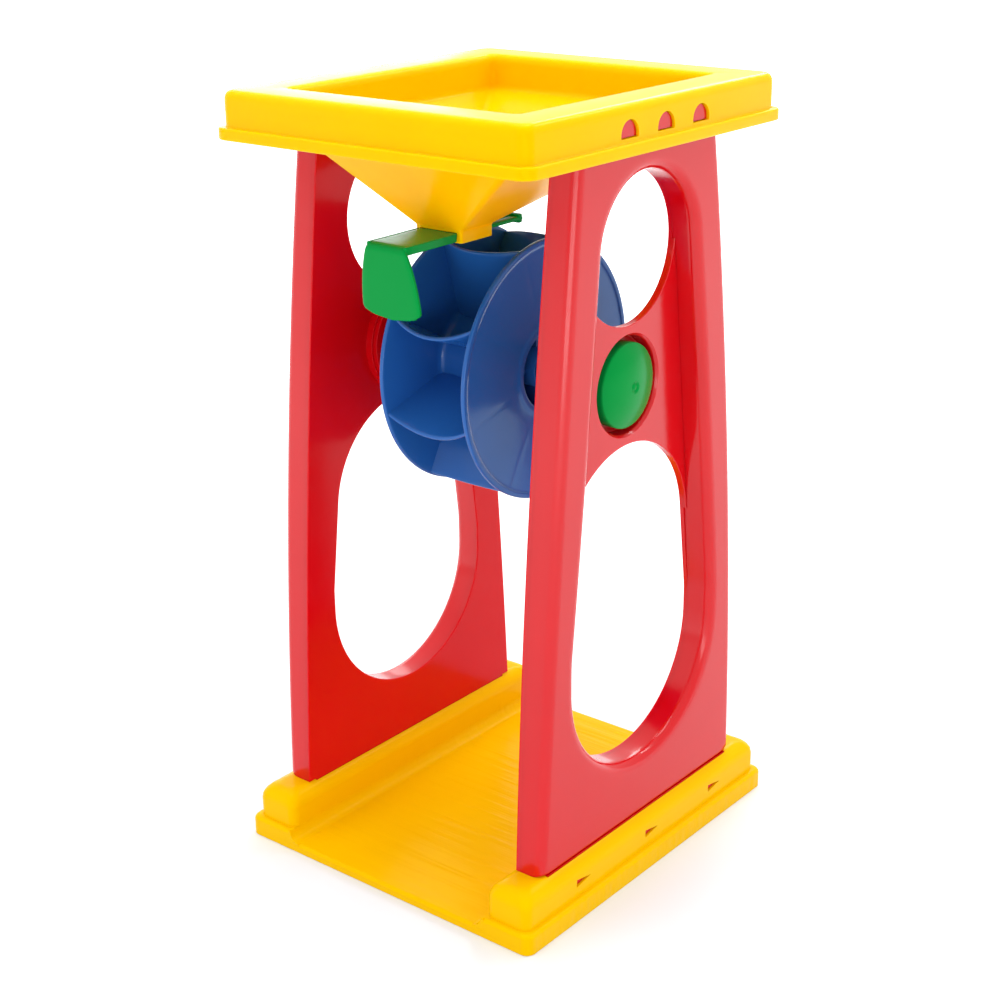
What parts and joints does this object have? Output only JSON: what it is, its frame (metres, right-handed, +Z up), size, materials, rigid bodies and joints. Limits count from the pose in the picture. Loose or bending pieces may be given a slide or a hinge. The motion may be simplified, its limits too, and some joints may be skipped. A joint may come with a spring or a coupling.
{
  "type": "sand wheel toy",
  "caption": "Tall sand mill toy: a square hopper with a sliding gate pours sand on to a bucket wheel between two openwork side panels on a low base.",
  "frame": {"origin": "on the ground under the middle of the base", "axes": "+X along the wheel's axle, -Y to the front where the gate's handle is, +Z up"},
  "size_m": [0.1926, 0.2154, 0.4],
  "materials": {
    "yellow_plastic": "glossy moulded plastic",
    "red_plastic": "glossy moulded plastic",
    "blue_plastic": "glossy moulded plastic",
    "green_plastic": "glossy moulded plastic"
  },
  "bodies": {
    "frame": {"base": "yellow_plastic", "left_panel_shell": "red_plastic", "left_panel_cover": "red_plastic", "right_panel_shell": "red_plastic", "right_panel_cover": "red_plastic", "hopper": "yellow_plastic", "left_axle_pin": "green_plastic", "right_axle_pin": "green_plastic"},
    "gate": {"gate_slide": "green_plastic"},
    "wheel": {"left_wheel_half": "blue_plastic", "right_wheel_half": "blue_plastic"}
  },
  "joints": [
    {"name": "wheel_spin", "type": "hinge", "parent": "frame", "child": "wheel", "pos_m": [0, 0, 0.26], "axis": [1, 0, 0], "continuous": true},
    {"name": "gate_slide", "type": "slide", "parent": "frame", "child": "gate", "axis": [0, -1, 0], "range_m": [0, 0.0233]}
  ]
}
